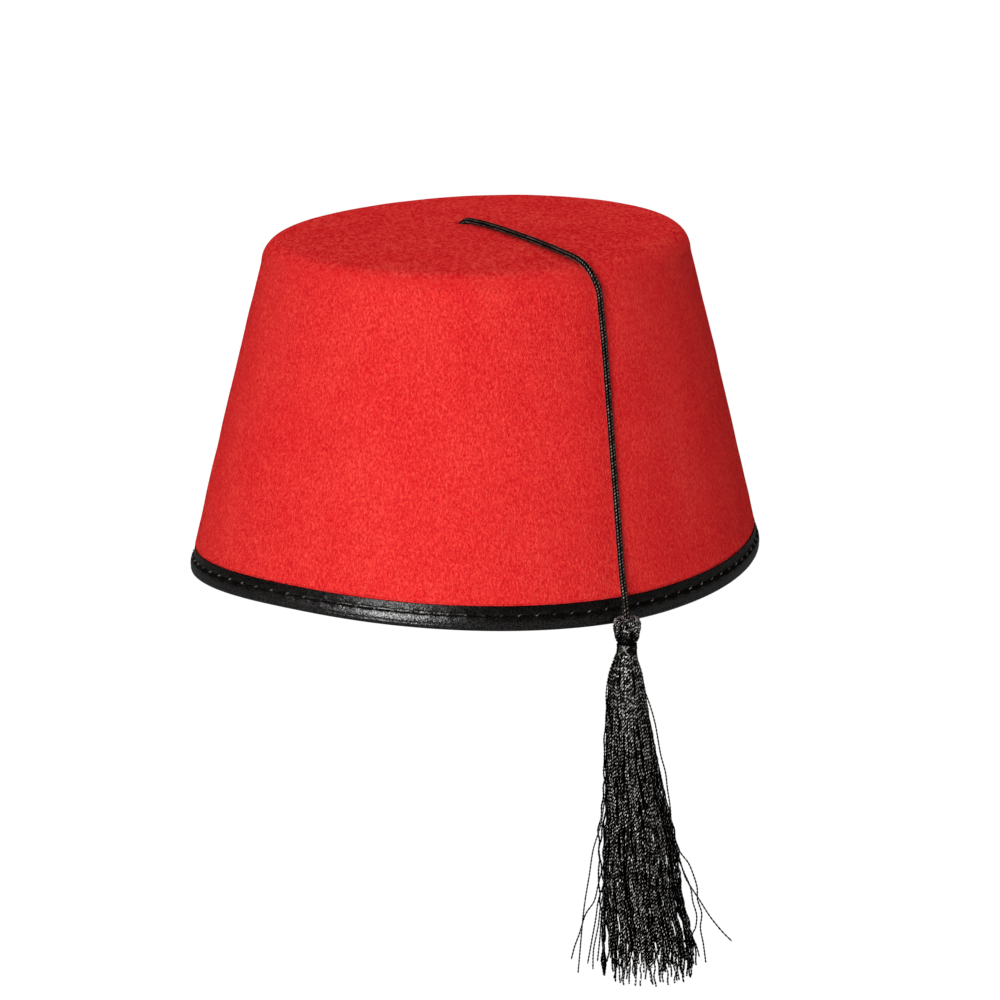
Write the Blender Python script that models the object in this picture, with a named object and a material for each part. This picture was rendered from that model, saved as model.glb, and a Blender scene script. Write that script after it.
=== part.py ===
# Fez of moulded felt with a bound rim, and a tassel on a cord that comes out through its top.
# Metres, +Z up. The origin is the middle of the head opening, in the mean plane of the rim.
# -Y is the wearer's front, so the long axis of the oval lies along Y.
# A bearing is measured about +Z from +X. A way runs up the crown's outer face: 0 at the rim,
# 1 where the edge of the top starts to turn, 2 where the top starts, 3 at the crown's axis.
import math

import bmesh
import bpy
import numpy as np
from mathutils import Vector

# Head opening, measured inside the bound rim
HEAD_GIRTH = 0.590
HEAD_SLIMNESS = 0.849  # inner width over inner length

# Crown, measured outside
CROWN_HEIGHT = 0.113
TOP_WIDTH = 0.134
TOP_LENGTH = 0.155
TOP_DOME = 0.002
TOP_EDGE_RADIUS = 0.0082
SIDE_BOW = 0.00045
RIM_DIP = 0.0029  # the rim is this much lower beside the head, and higher before and behind it
RIM_SQUARENESS = 2.24
TOP_SQUARENESS = 2.1
RIM_EGG = 0.048  # share by which the oval is wider in front and narrower behind
TOP_EGG = 0.055
FELT = 0.0022
PRESSED_FELT = 0.0014  # under the stitched binding
FELT_EASE = 0.0012  # height in which the felt swells out again above the binding

# Binding: one strip, folded under the felt's edge
LEATHER = 0.0007
BINDING_HEIGHT = 0.008
INNER_LEAF_HEIGHT = 0.0075
STITCH_HEIGHT = 0.0046
STITCH_GROOVE = 0.00025
GROOVE_WIDTH = 0.0012
BINDING_PUFF = 0.0004

# Cord, and the stopper under the top that holds it
CORD_DIAMETER = 0.00225
CORD_BEND = 0.00495  # radius of its middle line as it comes out of the top
CORD_LAID = math.radians(84)  # how much of that bend is an arc, before the route takes over
HOLE_CUT = math.radians(80)  # how far along the arc the hole in the felt follows it
CORD_BEARING = math.radians(-21.5)
HOLE_WAY = 3.127
HOLE_DRIFT = -0.0027
HOLE_HEADING = math.radians(21.5)  # from the cord's bearing
KNOT_WIDTH = 0.0076
KNOT_HEIGHT = 0.0048

# Tassel
TASSEL_CLEAR = 0.0041  # from the rim's outer face to the tassel's axis
HEAD_RISE = 0.0024  # from the lowest point of the rim beside it to the top of the head
HEAD_WIDTH = 0.0092
HEAD_HEIGHT = 0.0083
WRAP_WIDTH = 0.0069
WRAP_HEIGHT = 0.0039
WRAP_THICKNESS = 0.0009
WRAP_TURNS = 5
RIB_SHARE = 0.35  # height of a turn's rib over its pitch
SKIRT_LENGTH = 0.1115
SKIRT_WIDTH = 0.034
SKIRT_DEPTH = 0.027
SKIRT_LEAN = 0.0075
SKIRT_TURN = math.radians(38.5)  # bearing of the skirt's width
LOCK_WIDTH = 0.0054
CORE_COLLAR = 0.0012  # height of the step on which the wrap sits
OUTER_LOCKS = 12
INNER_LOCKS = 6

SEAT_GAP = 0.0003  # left wherever two pieces touch

# Fineness of the meshes
CROWN_SIDES = 64
CURVE_STEPS = 24
CORD_STEP = 1.5  # between the points of the cord, over its diameter
SIDE_ROWS = 5
EDGE_ROWS = 5
TOP_ROWS = 3
FOLD_STEPS = 6
HEAD_SIDES = 16

# How the pressed felt swells out above the binding, as shares of FELT_EASE and of SEAT.
SWELLING = (
    # up, depth
    (0.0, 1.0),
    (0.4, 0.35),
    (1.0, 0.0),
)

# The turned knot, as shares of KNOT_HEIGHT and of half KNOT_WIDTH.
KNOT_FORM = (
    # down, reach
    (0.0, 0.72),
    (0.2, 0.95),
    (0.45, 1.00),
    (0.78, 0.85),
    (1.00, 0.45),
)

# The cord's route after its exit bend, in order from the hole to the tassel.
# way: along the crown's outer face at the cord's bearing. drift: sideways, towards the larger
# bearing. clear: from the felt or binding to the cord, beyond the usual gap.
CORD_ROUTE = (
    # way, drift, clear
    (2.985, 0.00075, 0.0),
    (2.86, 0.00175, 0.0),
    (2.64, 0.00215, 0.0),
    (2.42, 0.00195, 0.0),
    (2.20, 0.00130, 0.0),
    (2.00, 0.00030, 0.0),
    (1.60, 0.00080, 0.0),
    (1.25, 0.00250, 0.0),
    (1.00, 0.00370, 0.0),
    (0.93, 0.00400, 0.0),
    (0.82, 0.00365, 0.0),
    (0.67, 0.00305, 0.0),
    (0.52, 0.00260, 0.0),
    (0.37, 0.00215, 0.0001),
    (0.22, 0.00120, 0.0006),
    (0.13, 0.00060, 0.0014),
    (0.07, 0.00020, 0.0023),
)

# The turned head of the tassel, as shares of HEAD_HEIGHT and of half HEAD_WIDTH.
HEAD_FORM = (
    # down, reach
    (0.10, 0.62),
    (0.26, 0.88),
    (0.46, 1.00),
    (0.68, 0.97),
    (0.88, 0.85),
    (1.00, 0.74),
)

# The skirt, as shares of SKIRT_LENGTH, of half SKIRT_WIDTH, of SKIRT_LEAN and of LOCK_WIDTH.
SKIRT_FORM = (
    # down, spread, lean, lock
    (0.015, 0.19, 0.00, 0.36),
    (0.10, 0.37, 0.02, 0.60),
    (0.24, 0.52, 0.16, 0.82),
    (0.40, 0.64, 0.33, 0.96),
    (0.56, 0.74, 0.50, 1.00),
    (0.72, 0.86, 0.74, 0.94),
    (0.88, 0.99, 0.94, 0.78),
    (1.00, 1.00, 1.00, 0.42),
)
CORE_END = 0.5  # how far down the skirt its solid core goes, as a share of SKIRT_LENGTH
CORE_SHARE = 0.72  # the core's reach over the skirt's
INNER_SHARE = 0.42  # the same for the ring of inner locks
OUTER_RAGGED = 0.09  # the most by which a lock ends short, as a share of SKIRT_LENGTH
INNER_RAGGED = 0.06
GOLDEN_SHARE = 0.618  # steps through the locks' lengths without repeating soon

# Thin locks that leave the skirt. side: angle about the tassel's axis from its width.
# leaves and end: shares of SKIRT_LENGTH. reach: how far out its tip goes, over half
# SKIRT_WIDTH. thickness: over that of the other locks.
STRAY_LOCKS = (
    # side, leaves, reach, end, thickness
    (math.radians(8), 0.50, 0.32, 0.86, 0.22),
    (math.radians(-22), 0.66, 0.22, 0.95, 0.20),
    (math.radians(176), 0.48, 0.36, 0.97, 0.22),
    (math.radians(205), 0.55, 0.30, 0.92, 0.20),
)

STRAY_CURL = 1.4  # over 1, a stray lock leaves gently and bends out towards its tip

# What follows from those sizes
SEAT = LEATHER + SEAT_GAP  # how deep the felt is pressed in for the binding to lie flush
BAND = 2 * SEAT + PRESSED_FELT
FOLD_RADIUS = BAND / 2
SIDE_HEIGHT = CROWN_HEIGHT - TOP_EDGE_RADIUS
CORD_LIFT = CORD_DIAMETER / 2 + SEAT_GAP
FULL_TURN = 2 * math.pi


def oval(bearing, half_width, half_length, squareness, egg):
    """Distance from the axis to an egg-shaped superellipse, in the direction of bearing."""
    c, s = np.cos(bearing), np.sin(bearing)
    power = np.abs(c / half_width) ** squareness + np.abs(s / half_length) ** squareness
    return power ** (-1 / squareness) * (1 - egg * s * c * c)


def rim_half_sizes():
    """Half width and half length outside the rim, from the girth inside it."""
    bearing = np.linspace(0, FULL_TURN, 721)
    reach = oval(bearing, HEAD_SLIMNESS, 1, RIM_SQUARENESS, RIM_EGG)
    round_it = np.hypot(np.diff(reach * np.cos(bearing)), np.diff(reach * np.sin(bearing)))
    half_length = HEAD_GIRTH / round_it.sum()
    return half_length * HEAD_SLIMNESS + BAND, half_length + BAND


RIM_HALF_WIDTH, RIM_HALF_LENGTH = rim_half_sizes()


def crown_face(bearing, way):
    """Distance from the axis, and height, of the crown's outer face."""
    side = np.clip(way, 0, 1)
    turn = np.clip(way - 1, 0, 1) * math.pi / 2
    inward = np.maximum(way - 2, 0)
    bow = SIDE_BOW * 4 * side * (1 - side)
    reach = oval(
        bearing,
        RIM_HALF_WIDTH + (TOP_WIDTH / 2 - RIM_HALF_WIDTH) * side + bow,
        RIM_HALF_LENGTH + (TOP_LENGTH / 2 - RIM_HALF_LENGTH) * side + bow,
        RIM_SQUARENESS + (TOP_SQUARENESS - RIM_SQUARENESS) * side,
        RIM_EGG + (TOP_EGG - RIM_EGG) * side,
    )
    reach = (reach - TOP_EDGE_RADIUS * (1 - np.cos(turn))) * (1 - inward)
    dome = TOP_DOME * (1 - (1 - inward) ** 2)
    dip = RIM_DIP * np.cos(2 * bearing) * (1 - side) ** 2
    return reach, side * SIDE_HEIGHT + TOP_EDGE_RADIUS * np.sin(turn) + dome - dip


def crown_point(bearing, way, depth=0.0):
    """The point that lies depth under the crown's outer face, or above it if depth is negative."""
    step = 1e-3
    reach, height = crown_face(bearing, way)
    reach_on, height_on = crown_face(bearing, way + step)
    reach_back, height_back = crown_face(bearing, way - step)
    out, up = reach_on - reach_back, height_on - height_back
    size = np.hypot(out, up)
    reach = reach - depth * up / size
    height = height + depth * out / size
    x, y, z = np.broadcast_arrays(reach * np.cos(bearing), reach * np.sin(bearing), height)
    return np.stack([x, y, z], axis=-1)


def way_up(height):
    """The way at a height above the rim, on the side."""
    return height / SIDE_HEIGHT


def make_material(name, colour, roughness, metallic=0.0):
    material = bpy.data.materials.new(name)
    material.use_nodes = True
    shader = material.node_tree.nodes["Principled BSDF"]
    shader.inputs["Base Color"].default_value = (*colour, 1)
    shader.inputs["Roughness"].default_value = roughness
    shader.inputs["Metallic"].default_value = metallic
    material.diffuse_color = (*colour, 1)
    return material


def add_object(name, data, material, parent=None):
    obj = bpy.data.objects.new(name, data)
    data.materials.append(material)
    bpy.context.scene.collection.objects.link(obj)
    obj.parent = parent
    return obj


def add_bmesh(name, bm, material, parent=None, sharp=40):
    bmesh.ops.recalc_face_normals(bm, faces=bm.faces)
    mesh = bpy.data.meshes.new(name)
    bm.to_mesh(mesh)
    bm.free()
    mesh.shade_smooth()
    mesh.set_sharp_from_angle(angle=math.radians(sharp))
    return add_object(name, mesh, material, parent)


def hide_cutter(obj):
    obj.hide_render = True
    obj.display_type = "WIRE"


def bridge_rings(bm, rings):
    """Faces between each ring of vertices and the next one."""
    for low, high in zip(rings, rings[1:]):
        for i in range(len(low)):
            j = (i + 1) % len(low)
            bm.faces.new((low[i], low[j], high[j], high[i]))


def crown_rings(bm, rows):
    """One ring of vertices about the crown for each (way, depth)."""
    bearings = np.linspace(0, FULL_TURN, CROWN_SIDES, endpoint=False)
    return [[bm.verts.new(p) for p in crown_point(bearings, way, depth)] for way, depth in rows]


def turned_bmesh(profile, sides, closed=False):
    """A profile of (distance from the axis, height), spun round the Z axis."""
    bm = bmesh.new()
    verts = [bm.verts.new((reach, 0, height)) for reach, height in profile]
    edges = [bm.edges.new(pair) for pair in zip(verts, verts[1:])]
    if closed:
        edges.append(bm.edges.new((verts[-1], verts[0])))
    bmesh.ops.spin(
        bm, geom=verts + edges, cent=(0, 0, 0), axis=(0, 0, 1), angle=FULL_TURN, steps=sides
    )
    bmesh.ops.remove_doubles(bm, verts=bm.verts, dist=1e-6)
    return bm


def smooth_line(points, spacing):
    """Points about spacing apart on the smooth curve through the given ones."""
    given = np.array(points)
    ends = np.vstack([2 * given[0] - given[1], given, 2 * given[-1] - given[-2]])
    fine = []
    for before, start, end, after in zip(ends, ends[1:], ends[2:], ends[3:]):
        a, b, c = (
            math.sqrt(np.linalg.norm(q - p))
            for p, q in ((before, start), (start, end), (end, after))
        )
        leave = (start - before) / a - (end - before) / (a + b) + (end - start) / b
        arrive = (end - start) / b - (after - start) / (b + c) + (after - end) / c
        t = np.linspace(0, 1, CURVE_STEPS, endpoint=False)[:, None]
        fine.append(
            start * (2 * t**3 - 3 * t**2 + 1)
            + leave * b * (t**3 - 2 * t**2 + t)
            + end * (3 * t**2 - 2 * t**3)
            + arrive * b * (t**3 - t**2)
        )
    fine = np.vstack(fine + [given[-1:]])
    along = np.concatenate([[0], np.cumsum(np.linalg.norm(np.diff(fine, axis=0), axis=1))])
    at = np.linspace(0, along[-1], math.ceil(along[-1] / spacing) + 1)
    return np.stack([np.interp(at, along, fine[:, axis]) for axis in range(3)], axis=1)


def tube_curve(name, lines, width, resolution, radii=None):
    """One curve of round tubes with closed ends, a spline for each line."""
    curve = bpy.data.curves.new(name, "CURVE")
    curve.dimensions = "3D"
    curve.bevel_depth = width / 2
    curve.bevel_resolution = resolution
    curve.use_fill_caps = True
    for i, line in enumerate(lines):
        spline = curve.splines.new("POLY")
        spline.points.add(len(line) - 1)
        for j, (point, place) in enumerate(zip(spline.points, line)):
            point.co = (*place, 1)
            if radii is not None:
                point.radius = radii[i][j]
    return curve


def beside_crown(way, drift, lift):
    """A point lift above the crown's outer face at the cord's bearing, and drift to the side of it."""
    sideways = np.array([-math.sin(CORD_BEARING), math.cos(CORD_BEARING), 0])
    return crown_point(CORD_BEARING, way, -lift) + drift * sideways


def cord_exit(steps, end_turn):
    """The bend by which the cord comes up out of its knot and lies down on the top."""
    heading = CORD_BEARING + HOLE_HEADING
    forward = np.array([math.cos(heading), math.sin(heading), 0])
    mouth_turn = math.asin((CORD_BEND - CORD_LIFT) / CORD_BEND)
    start = beside_crown(HOLE_WAY, HOLE_DRIFT, CORD_LIFT - CORD_BEND)
    start = start - forward * CORD_BEND * (1 - math.cos(mouth_turn))
    turn = np.linspace(0, end_turn, steps)[:, None]
    return start + CORD_BEND * ((1 - np.cos(turn)) * forward + np.sin(turn) * np.array([0, 0, 1]))


def tassel_top():
    """Where the cord enters the tassel: the middle of the head's flat top."""
    rim = crown_point(CORD_BEARING, way_up(0.0))
    outward = np.array([math.cos(CORD_BEARING), math.sin(CORD_BEARING), 0])
    return rim + outward * TASSEL_CLEAR + np.array([0, 0, HEAD_RISE])


def cord_line():
    end = tassel_top() + np.array([0, 0, SEAT_GAP])
    hanging = end + np.array([0, 0, CORD_DIAMETER])
    route = [beside_crown(way, drift, CORD_LIFT + clear) for way, drift, clear in CORD_ROUTE]
    bend = cord_exit(6, CORD_LAID)
    laid = smooth_line([bend[-1], *route, hanging, end], CORD_STEP * CORD_DIAMETER)
    return np.vstack([bend[:-1], laid])


def make_cord(material, parent):
    curve = tube_curve("cord", [cord_line()], CORD_DIAMETER, 2)
    return add_object("cord", curve, material, parent)


def make_crown(material, parent):
    bm = bmesh.new()
    above = BINDING_HEIGHT + SEAT_GAP
    pressed = [(way_up(FOLD_RADIUS), SEAT)]
    swelling = [(way_up(above + up * FELT_EASE), depth * SEAT) for up, depth in SWELLING]
    side = [(way, 0.0) for way in np.linspace(way_up(above + FELT_EASE), 1, SIDE_ROWS + 1)[1:]]
    edge = [(way, 0.0) for way in np.linspace(1, 2, EDGE_ROWS + 1)[1:]]
    top = [(way, 0.0) for way in np.linspace(2, 3, TOP_ROWS + 1)[1:-1]]
    outer = crown_rings(bm, pressed + swelling + side + edge + top)
    inner_rows = [(way, FELT) for way, _ in reversed(side + edge + top)]
    inner_rows += [(way_up(height), SEAT + PRESSED_FELT) for height in (above, FOLD_RADIUS)]
    inner = crown_rings(bm, inner_rows)
    peak = bm.verts.new(crown_point(0.0, 3.0))
    ceiling = bm.verts.new(crown_point(0.0, 3.0, FELT))
    bridge_rings(bm, outer)
    bridge_rings(bm, inner + [outer[0]])
    for ring, middle in ((outer[-1], peak), (inner[0], ceiling)):
        for i in range(CROWN_SIDES):
            bm.faces.new((ring[i], ring[(i + 1) % CROWN_SIDES], middle))
    crown = add_bmesh("crown", bm, material, parent)

    bend = cord_exit(9, HOLE_CUT)
    below = bend[0] - np.array([0, 0, FELT])
    curve = tube_curve("cord_hole", [[below, *bend]], CORD_DIAMETER + 2 * SEAT_GAP, 2)
    drill = add_object("cord_hole_tube", curve, material)
    mesh = bpy.data.meshes.new_from_object(drill)
    bpy.data.objects.remove(drill)
    cutter = add_object("cord_hole", mesh, material, parent)
    hide_cutter(cutter)
    hole = crown.modifiers.new("cord_hole", "BOOLEAN")
    hole.operation = "DIFFERENCE"
    hole.object = cutter
    return crown


def make_binding(material, parent):
    """The folded strip: outer leaf, round fold below the felt's edge, and inner leaf."""
    groove = GROOVE_WIDTH / 2
    puffed = (FOLD_RADIUS + STITCH_HEIGHT) / 2
    outside = [
        (0.0, BINDING_HEIGHT),
        (0.0, STITCH_HEIGHT + groove),
        (STITCH_GROOVE, STITCH_HEIGHT),
        (-0.6 * BINDING_PUFF, STITCH_HEIGHT - groove),
        (-BINDING_PUFF, puffed),
    ]
    under = []
    for turn in np.linspace(0, math.pi, FOLD_STEPS + 1):
        under.append((FOLD_RADIUS * (1 - math.cos(turn)), FOLD_RADIUS * (1 - math.sin(turn))))
    inside = [(BAND, INNER_LEAF_HEIGHT), (BAND - LEATHER, INNER_LEAF_HEIGHT)]
    hollow = []
    for turn in np.linspace(math.pi, 0, FOLD_STEPS // 2 + 1):
        bend = FOLD_RADIUS - LEATHER
        hollow.append((FOLD_RADIUS - bend * math.cos(turn), FOLD_RADIUS - bend * math.sin(turn)))
    section = outside + under + inside + hollow + [(LEATHER, BINDING_HEIGHT)]
    bm = bmesh.new()
    rings = crown_rings(bm, [(way_up(height), depth) for depth, height in reversed(section)])
    bridge_rings(bm, rings + [rings[0]])
    return add_bmesh("rim_binding", bm, material, parent)


def make_knot(material, parent):
    """A plain stopper with a socket on top for the cord's end."""
    start = cord_exit(2, CORD_LAID)[0]
    ceiling = crown_point(CORD_BEARING, HOLE_WAY, FELT)[2]
    seat = ceiling - SEAT_GAP
    socket = CORD_DIAMETER / 2 + 2 * SEAT_GAP
    floor = start[2] - SEAT_GAP - seat
    half = KNOT_WIDTH / 2
    profile = [(0.0, floor), (socket, floor), (socket, 0.0)]
    profile += [(reach * half, -down * KNOT_HEIGHT) for down, reach in KNOT_FORM]
    profile += [(0.0, -KNOT_HEIGHT)]
    knot = add_bmesh("cord_knot", turned_bmesh(profile, HEAD_SIDES), material, parent)
    knot.location = (start[0], start[1], seat)
    return knot


def skirt_at(down):
    """Half width, lean and lock width of the skirt at a share of its length."""
    rows = np.array(SKIRT_FORM)
    spread, lean, lock = (np.interp(down, rows[:, 0], rows[:, column]) for column in (1, 2, 3))
    return spread * SKIRT_WIDTH / 2, lean * SKIRT_LEAN, lock * LOCK_WIDTH


def lock_line(side, inset, end, leaves=1.0, reach=0.0, thickness=1.0):
    """The middle line of a lock, in the tassel's own frame, and its radii."""
    flatness = SKIRT_DEPTH / SKIRT_WIDTH
    line, radii = [], []
    for row in SKIRT_FORM:
        down = row[0] * end
        spread, lean, lock = skirt_at(down)
        radius = skirt_at(row[0])[2] * thickness / 2
        away = (spread - radius) * inset
        if down > leaves:
            away += reach * SKIRT_WIDTH / 2 * ((down - leaves) / (end - leaves)) ** STRAY_CURL
        line.append(
            (
                lean + away * math.cos(side),
                away * math.sin(side) * flatness,
                -HEAD_HEIGHT - WRAP_HEIGHT - down * SKIRT_LENGTH,
            )
        )
        radii.append(radius * 2 / LOCK_WIDTH)
    return line, radii


def make_locks(material, parent):
    """All the locks of the skirt as tubes in one mesh."""
    locks = []
    for i in range(OUTER_LOCKS):
        end = 1 - OUTER_RAGGED * (i * GOLDEN_SHARE % 1)
        locks.append(lock_line(FULL_TURN * i / OUTER_LOCKS, 1.0, end))
    for i in range(INNER_LOCKS):
        end = 1 - INNER_RAGGED * (i * GOLDEN_SHARE % 1)
        locks.append(lock_line(FULL_TURN * (i + 0.5) / INNER_LOCKS, INNER_SHARE, end))
    for side, leaves, reach, end, thickness in STRAY_LOCKS:
        locks.append(lock_line(side, 1.0, end, leaves, reach, thickness))
    lines, radii = zip(*locks)
    curve = tube_curve("locks", lines, LOCK_WIDTH, 1, radii)
    tubes = add_object("lock_tubes", curve, material)
    mesh = bpy.data.meshes.new_from_object(tubes)
    bpy.data.objects.remove(tubes)
    obj = add_object("tassel_locks", mesh, material, parent)
    hide_cutter(obj)
    return obj


def make_tassel(material, parent):
    """Head, neck and core as one turned form, with the locks fused to it."""
    half_head, half_neck = HEAD_WIDTH / 2, WRAP_WIDTH / 2 - WRAP_THICKNESS - SEAT_GAP
    waist = -HEAD_HEIGHT
    profile = [(0.0, 0.0), (CORD_DIAMETER / 2, 0.0)]
    profile += [(reach * half_head, -down * HEAD_HEIGHT) for down, reach in HEAD_FORM]
    profile += [(half_neck, waist), (half_neck, waist - WRAP_HEIGHT)]
    collar_end = waist - WRAP_HEIGHT - CORE_COLLAR
    profile += [(WRAP_WIDTH / 2, waist - WRAP_HEIGHT), (WRAP_WIDTH / 2, collar_end)]
    bm = turned_bmesh(profile, HEAD_SIDES)
    rim = [vert for vert in bm.verts if vert.co.z < collar_end + CORE_COLLAR / 2]
    rim.sort(key=lambda v: math.atan2(v.co.y, v.co.x))
    rings = [rim]
    for row in SKIRT_FORM[1:]:
        if row[0] > CORE_END:
            break
        spread, lean, _ = skirt_at(row[0])
        height = waist - WRAP_HEIGHT - row[0] * SKIRT_LENGTH
        ring = []
        for vert in rim:
            angle = math.atan2(vert.co.y, vert.co.x)
            across = spread * CORE_SHARE * math.cos(angle) + lean
            deep = spread * CORE_SHARE * math.sin(angle) * SKIRT_DEPTH / SKIRT_WIDTH
            ring.append(bm.verts.new((across, deep, height)))
        rings.append(ring)
    bridge_rings(bm, rings)
    bm.faces.new(rings[-1])
    tassel = add_bmesh("tassel", bm, material, parent)
    fuse = tassel.modifiers.new("locks", "BOOLEAN")
    fuse.operation = "UNION"
    fuse.use_self = True
    fuse.object = make_locks(material, tassel)
    return tassel


def make_wrap(material, parent):
    """Thread wound round the neck, as one ring with a rib for each turn."""
    inner = WRAP_WIDTH / 2 - WRAP_THICKNESS
    high, low = -HEAD_HEIGHT - SEAT_GAP, -HEAD_HEIGHT - WRAP_HEIGHT + SEAT_GAP
    pitch = (high - low) / WRAP_TURNS
    rib = pitch * RIB_SHARE
    profile = [(inner, high), (WRAP_WIDTH / 2 - rib, high)]
    for turn in range(WRAP_TURNS):
        profile.append((WRAP_WIDTH / 2, high - (turn + 0.5) * pitch))
        profile.append((WRAP_WIDTH / 2 - rib, high - (turn + 1) * pitch))
    profile.append((inner, low))
    bm = turned_bmesh(profile, HEAD_SIDES, closed=True)
    return add_bmesh("tassel_wrap", bm, material, parent)


def main():
    for obj in list(bpy.data.objects):
        bpy.data.objects.remove(obj, do_unlink=True)
    felt = make_material("red_felt", (0.62, 0.018, 0.018), 0.95)
    leather = make_material("black_leather", (0.012, 0.012, 0.013), 0.38)
    cord_yarn = make_material("black_cord", (0.010, 0.010, 0.010), 0.55)
    knot_yarn = make_material("black_knot", (0.010, 0.010, 0.010), 0.60)
    tassel_yarn = make_material("black_yarn", (0.014, 0.014, 0.014), 0.42)
    wrap_thread = make_material("black_thread", (0.014, 0.014, 0.014), 0.30)

    hat = bpy.data.objects.new("fez", None)
    bpy.context.scene.collection.objects.link(hat)
    make_crown(felt, hat)
    make_binding(leather, hat)
    make_cord(cord_yarn, hat)
    make_knot(knot_yarn, hat)

    hanging = bpy.data.objects.new("tassel_place", None)
    bpy.context.scene.collection.objects.link(hanging)
    hanging.parent = hat
    hanging.location = Vector(tassel_top())
    hanging.rotation_euler.z = SKIRT_TURN
    make_tassel(tassel_yarn, hanging)
    make_wrap(wrap_thread, hanging)


main()
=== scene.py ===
# Fez of red moulded felt with a black bound rim, and a long black tassel on a cord.
# Metres, +Z up. -Y is the wearer's front, and +X to the wearer's left.
# A bearing turns about +Z from +X. A way runs up the crown's outer face: 0 at the rim,
# 1 where the edge of the top starts to turn, 2 where the top starts, 3 at the crown's axis.
import math

import bpy
import numpy as np
from mathutils import Matrix


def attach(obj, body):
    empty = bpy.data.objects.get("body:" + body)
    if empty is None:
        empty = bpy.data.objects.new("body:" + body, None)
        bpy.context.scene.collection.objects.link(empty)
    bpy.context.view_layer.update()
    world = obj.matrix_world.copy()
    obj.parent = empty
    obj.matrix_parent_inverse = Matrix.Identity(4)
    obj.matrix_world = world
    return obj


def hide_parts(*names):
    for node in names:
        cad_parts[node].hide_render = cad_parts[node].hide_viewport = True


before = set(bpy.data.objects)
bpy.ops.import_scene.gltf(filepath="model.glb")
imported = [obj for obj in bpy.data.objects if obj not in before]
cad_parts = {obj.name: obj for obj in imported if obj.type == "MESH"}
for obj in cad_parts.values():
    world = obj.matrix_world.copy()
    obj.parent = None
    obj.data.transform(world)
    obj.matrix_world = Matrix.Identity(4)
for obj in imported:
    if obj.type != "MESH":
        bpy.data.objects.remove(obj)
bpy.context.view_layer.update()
fullTurn = 2 * math.pi
upright = np.array([0, 0, 1.0])
noiseShape = {"sizes": (0.6, 0.3, 0.2), "periods": (0.55, 1.6)}  # against those asked for
print("frame loaded:", sorted(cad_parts))


def unit(vectors):
    # Each vector divided by its length.
    return vectors / np.maximum(np.linalg.norm(vectors, axis=-1, keepdims=True), 1e-12)


def smoothStep(x):
    # 3 x^2 - 2 x^3 between 0 and 1, and level outside them.
    x = np.clip(x, 0, 1)
    return x * x * (3 - 2 * x)


def ringAngles(count):
    return np.arange(count) * fullTurn / count


def smoothNoise(rng, count, spread, at, period):
    # Sum of three sines for each of count lines: random phase, periods near the given one.
    phase = rng.uniform(0, fullTurn, (3, count, 1))
    share = rng.uniform(*noiseShape["periods"], (3, count, 1))
    size = np.array(noiseShape["sizes"])[:, None, None]
    return spread * (size * np.sin(phase + fullTurn * at / (period * share))).sum(axis=0)


def gridFaces(rows, columns):
    # Quads between neighbouring rows of a grid whose columns close into a ring.
    i = np.arange(rows - 1)[:, None] * columns
    j = np.arange(columns)[None]
    k = (j + 1) % columns
    return np.stack([i + j, i + k, i + columns + k, i + columns + j], -1).reshape(-1, 4)


def closedFaces(rows, columns):
    # The grid's quads, and one face over each of its ends.
    ring = np.arange(columns)
    ends = [ring[::-1].tolist(), (ring + (rows - 1) * columns).tolist()]
    return gridFaces(rows, columns).tolist() + ends


def buildMesh(name, points, faces, material, **layers):
    # Each layer is one number at each point, kept as an attribute of the mesh.
    mesh = bpy.data.meshes.new(name)
    mesh.from_pydata(points.reshape(-1, 3).tolist(), [], faces)
    mesh.shade_smooth()
    for label, values in layers.items():
        layer = mesh.attributes.new(label, "FLOAT", "POINT")
        layer.data.foreach_set("value", np.ascontiguousarray(values, dtype=np.float32).ravel())
    mesh.materials.append(material)
    return addObject(name, mesh)


def addObject(name, data):
    obj = bpy.data.objects.new(name, data)
    bpy.context.scene.collection.objects.link(obj)
    return obj


def buildTubes(name, path, beside, radius, material, **layers):
    # Tubes of the same number of rings and sides in one mesh, each closed by two end faces.
    # Ring point = path point + radius * (cos(angle) * first normal + sin(angle) * second normal):
    # the first is beside with its tangent part removed, the second is tangent x first.
    count, rings, sides = radius.shape
    tangent = unit(np.gradient(path, axis=-2))
    first = unit(beside - (beside * tangent).sum(-1, keepdims=True) * tangent)
    second = np.cross(tangent, first)
    angle = ringAngles(sides)[:, None]
    around = np.cos(angle) * first[..., None, :] + np.sin(angle) * second[..., None, :]
    size = rings * sides
    each = size * np.arange(count)[:, None]
    quads = (gridFaces(rings, sides)[None] + each[..., None]).reshape(-1, 4)
    start = (np.arange(sides)[::-1][None] + each).tolist()
    end = (size - sides + np.arange(sides)[None] + each).tolist()
    points = path[..., None, :] + radius[..., None] * around
    return buildMesh(name, points, quads.tolist() + start + end, material, **layers)


def spaced(path, spacing):
    # The path's points again, at even distances along it.
    along = np.concatenate([[0], np.cumsum(np.linalg.norm(np.diff(path, axis=0), axis=1))])
    at = np.linspace(0, along[-1], math.ceil(along[-1] / spacing) + 1)
    return np.stack([np.interp(at, along, path[:, axis]) for axis in range(3)], axis=1)


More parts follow.
